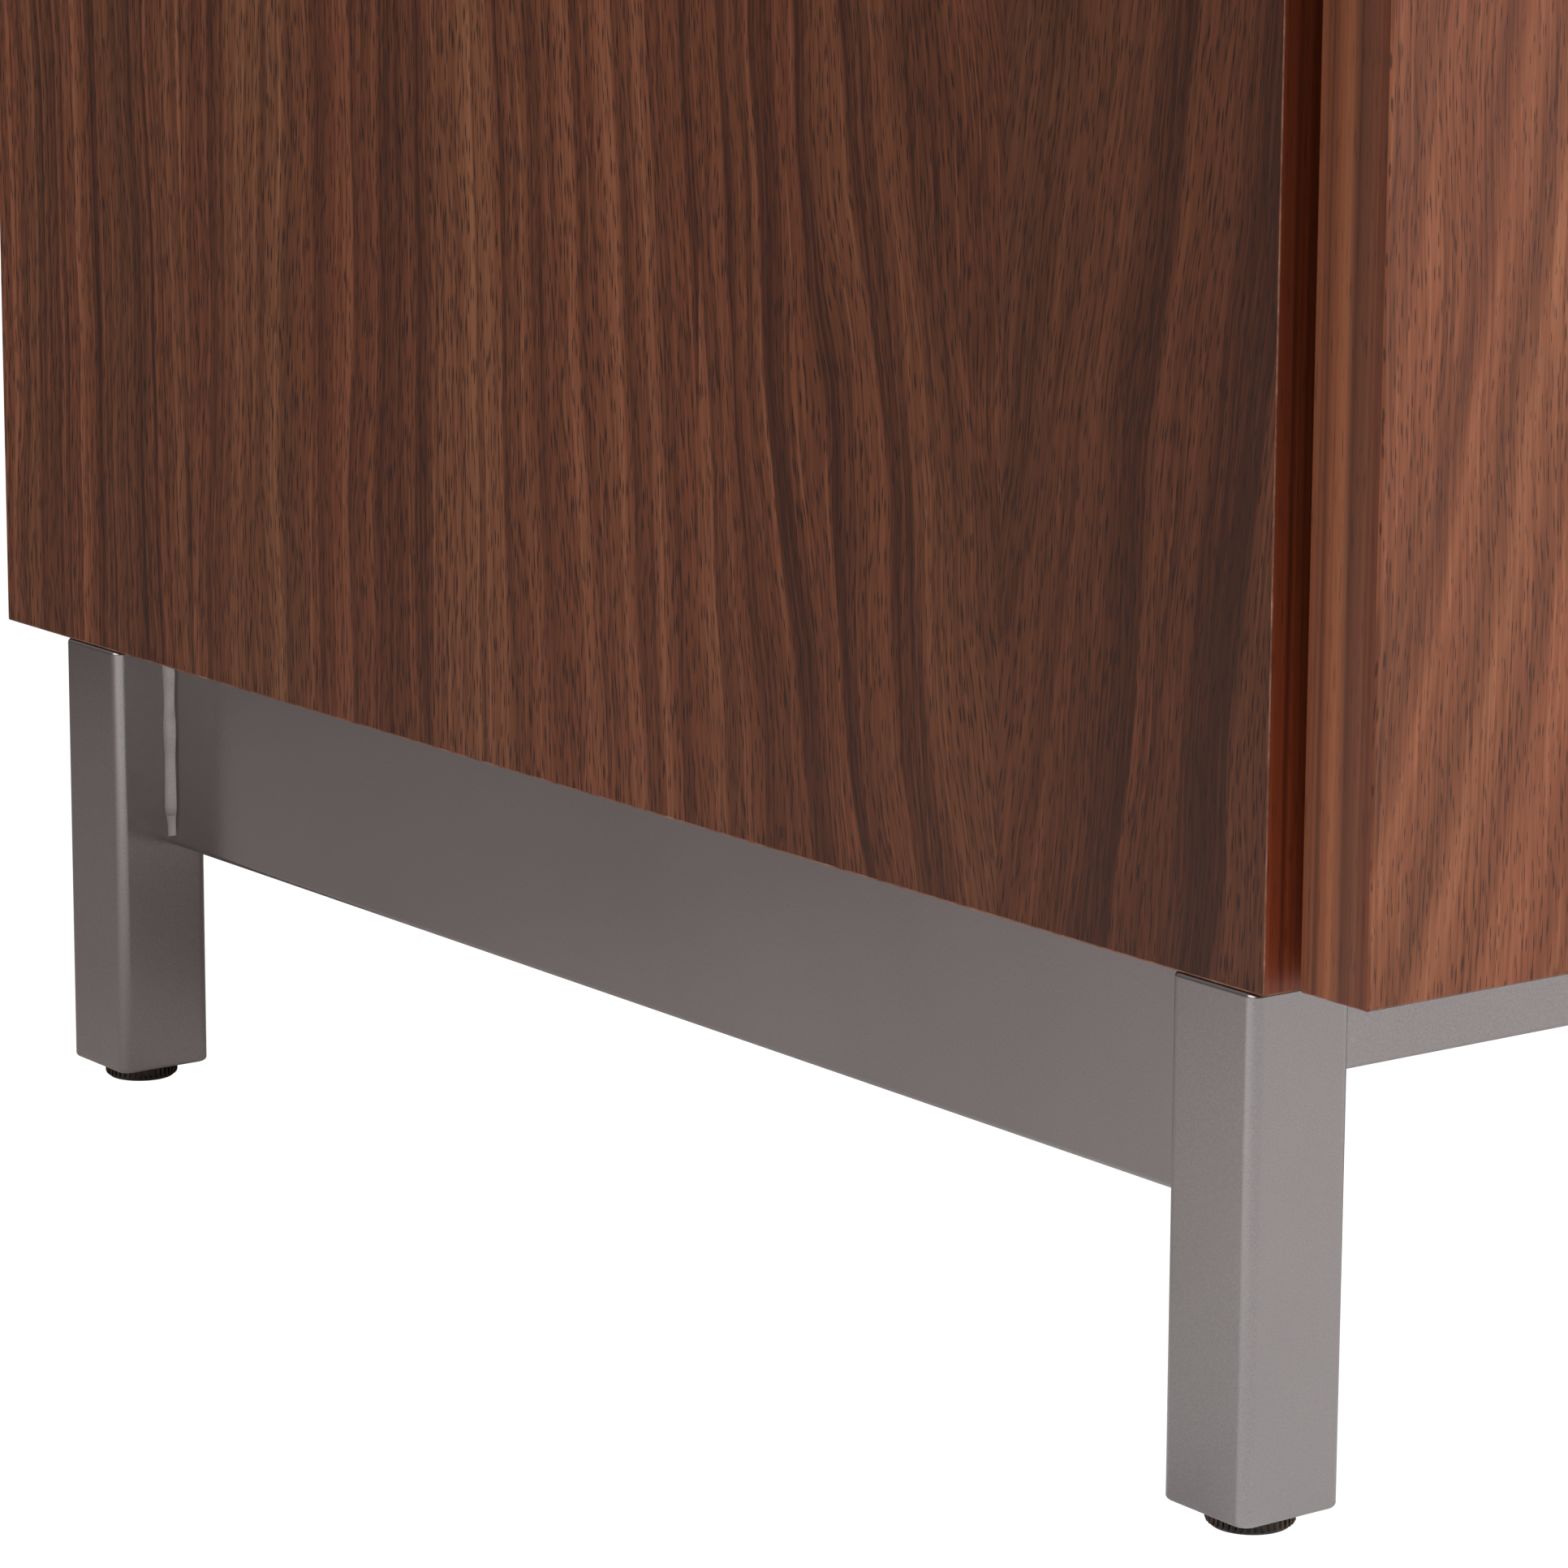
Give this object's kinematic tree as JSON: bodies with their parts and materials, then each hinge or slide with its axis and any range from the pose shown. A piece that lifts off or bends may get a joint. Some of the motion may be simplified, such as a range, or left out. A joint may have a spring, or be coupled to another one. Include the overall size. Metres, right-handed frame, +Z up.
{
  "type": "sideboard",
  "caption": "Walnut-veneered sideboard with plain handle-less doors and drawers on a square-tube steel base with levelling feet.",
  "frame": {"origin": "centre of the footprint, on the floor", "axes": "+X along the width, fronts face -Y, +Z up"},
  "size_m": [1.524, 0.508, 0.76],
  "materials": {
    "walnut_case": "satin walnut veneer",
    "walnut_fronts": "satin walnut veneer",
    "back_board": "satin",
    "drawer_wood": "lacquered birch",
    "base_steel": "satin powder coat",
    "foot_black": "matte",
    "zinc_hardware": "zinc plated",
    "nickel_hinge": "nickel plated",
    "runner_zinc": "zinc plated",
    "latch_plastic": "matte"
  },
  "bodies": {
    "cabinet": {"side_panel_left": "walnut_case", "side_panel_right": "walnut_case", "top_panel": "walnut_case", "bottom_panel": "walnut_case", "partition_left": "walnut_case", "partition_right": "walnut_case", "back_panel": "back_board", "shelf_left": "walnut_case", "shelf_right": "walnut_case", "shelf_pins": "zinc_hardware", "hinge_plates": "nickel_hinge", "hinge_arms": "nickel_hinge", "latch_housings": "latch_plastic", "runner_cabinet_members": "runner_zinc", "leg_front_left": "base_steel", "leg_front_right": "base_steel", "leg_rear_left": "base_steel", "leg_rear_right": "base_steel", "rail_front": "base_steel", "rail_rear": "base_steel", "rail_left": "base_steel", "rail_right": "base_steel", "weld_beads": "base_steel", "frame_tabs": "base_steel"},
    "hinge_link_left": {"hinge_links_left": "nickel_hinge"},
    "door_left": {"door_left": "walnut_fronts", "hinge_cups_left": "nickel_hinge"},
    "latch_plunger_left": {"latch_plunger_left": "latch_plastic"},
    "hinge_link_right": {"hinge_links_right": "nickel_hinge"},
    "door_right": {"door_right": "walnut_fronts", "hinge_cups_right": "nickel_hinge"},
    "latch_plunger_right": {"latch_plunger_right": "latch_plastic"},
    "runner_lower": {"runner_middle_lower": "runner_zinc"},
    "drawer_lower": {"drawer_front_lower": "walnut_fronts", "drawer_side_left_lower": "drawer_wood", "drawer_side_right_lower": "drawer_wood", "drawer_back_lower": "drawer_wood", "drawer_bottom_lower": "drawer_wood", "runner_inner_lower": "runner_zinc"},
    "runner_middle": {"runner_middle_middle": "runner_zinc"},
    "drawer_middle": {"drawer_front_middle": "walnut_fronts", "drawer_side_left_middle": "drawer_wood", "drawer_side_right_middle": "drawer_wood", "drawer_back_middle": "drawer_wood", "drawer_bottom_middle": "drawer_wood", "runner_inner_middle": "runner_zinc"},
    "runner_upper": {"runner_middle_upper": "runner_zinc"},
    "drawer_upper": {"drawer_front_upper": "walnut_fronts", "drawer_side_left_upper": "drawer_wood", "drawer_side_right_upper": "drawer_wood", "drawer_back_upper": "drawer_wood", "drawer_bottom_upper": "drawer_wood", "runner_inner_upper": "runner_zinc"},
    "foot_front_left": {"foot_front_left": "foot_black"},
    "foot_front_right": {"foot_front_right": "foot_black"},
    "foot_rear_left": {"foot_rear_left": "foot_black"},
    "foot_rear_right": {"foot_rear_right": "foot_black"}
  },
  "joints": [
    {"name": "hinge_link_left_turn", "type": "hinge", "parent": "cabinet", "child": "hinge_link_left", "pos_m": [-0.728, -0.2289, 0.43385], "axis": [0, 0, 1], "range_deg": [0, 18.61]},
    {"name": "door_left_swing", "type": "hinge", "parent": "hinge_link_left", "child": "door_left", "pos_m": [-0.747, -0.24, 0.43385], "axis": [0, 0, -1], "range_deg": [0, 118.59]},
    {"name": "latch_plunger_left_press", "type": "slide", "parent": "cabinet", "child": "latch_plunger_left", "axis": [0, 1, 0], "range_m": [0, 0.003], "stiffness_N_per_m": 400, "springref_m": -0.004},
    {"name": "hinge_link_right_turn", "type": "hinge", "parent": "cabinet", "child": "hinge_link_right", "pos_m": [0.728, -0.2289, 0.43385], "axis": [0, 0, -1], "range_deg": [0, 18.61]},
    {"name": "door_right_swing", "type": "hinge", "parent": "hinge_link_right", "child": "door_right", "pos_m": [0.747, -0.24, 0.43385], "axis": [0, 0, 1], "range_deg": [0, 118.59]},
    {"name": "latch_plunger_right_press", "type": "slide", "parent": "cabinet", "child": "latch_plunger_right", "axis": [0, 1, 0], "range_m": [0, 0.003], "stiffness_N_per_m": 400, "springref_m": -0.004},
    {"name": "drawer_lower_slide", "type": "slide", "parent": "cabinet", "child": "drawer_lower", "axis": [0, -1, 0], "range_m": [0, 0.4]},
    {"name": "runner_lower_slide", "type": "slide", "parent": "cabinet", "child": "runner_lower", "axis": [0, -1, 0], "range_m": [0, 0.2]},
    {"name": "drawer_middle_slide", "type": "slide", "parent": "cabinet", "child": "drawer_middle", "axis": [0, -1, 0], "range_m": [0, 0.4]},
    {"name": "runner_middle_slide", "type": "slide", "parent": "cabinet", "child": "runner_middle", "axis": [0, -1, 0], "range_m": [0, 0.2]},
    {"name": "drawer_upper_slide", "type": "slide", "parent": "cabinet", "child": "drawer_upper", "axis": [0, -1, 0], "range_m": [0, 0.4]},
    {"name": "runner_upper_slide", "type": "slide", "parent": "cabinet", "child": "runner_upper", "axis": [0, -1, 0], "range_m": [0, 0.2]},
    {"name": "foot_front_left_level", "type": "slide", "parent": "cabinet", "child": "foot_front_left", "axis": [0, 0, -1], "range_m": [0, 0.01]},
    {"name": "foot_front_right_level", "type": "slide", "parent": "cabinet", "child": "foot_front_right", "axis": [0, 0, -1], "range_m": [0, 0.01]},
    {"name": "foot_rear_left_level", "type": "slide", "parent": "cabinet", "child": "foot_rear_left", "axis": [0, 0, -1], "range_m": [0, 0.01]},
    {"name": "foot_rear_right_level", "type": "slide", "parent": "cabinet", "child": "foot_rear_right", "axis": [0, 0, -1], "range_m": [0, 0.01]}
  ],
  "couplings": [
    {"joint": "hinge_link_left_turn", "follows": "door_left_swing", "ratio": 0.15676},
    {"joint": "hinge_link_right_turn", "follows": "door_right_swing", "ratio": 0.15676},
    {"joint": "runner_lower_slide", "follows": "drawer_lower_slide", "ratio": 0.5},
    {"joint": "runner_middle_slide", "follows": "drawer_middle_slide", "ratio": 0.5},
    {"joint": "runner_upper_slide", "follows": "drawer_upper_slide", "ratio": 0.5}
  ]
}
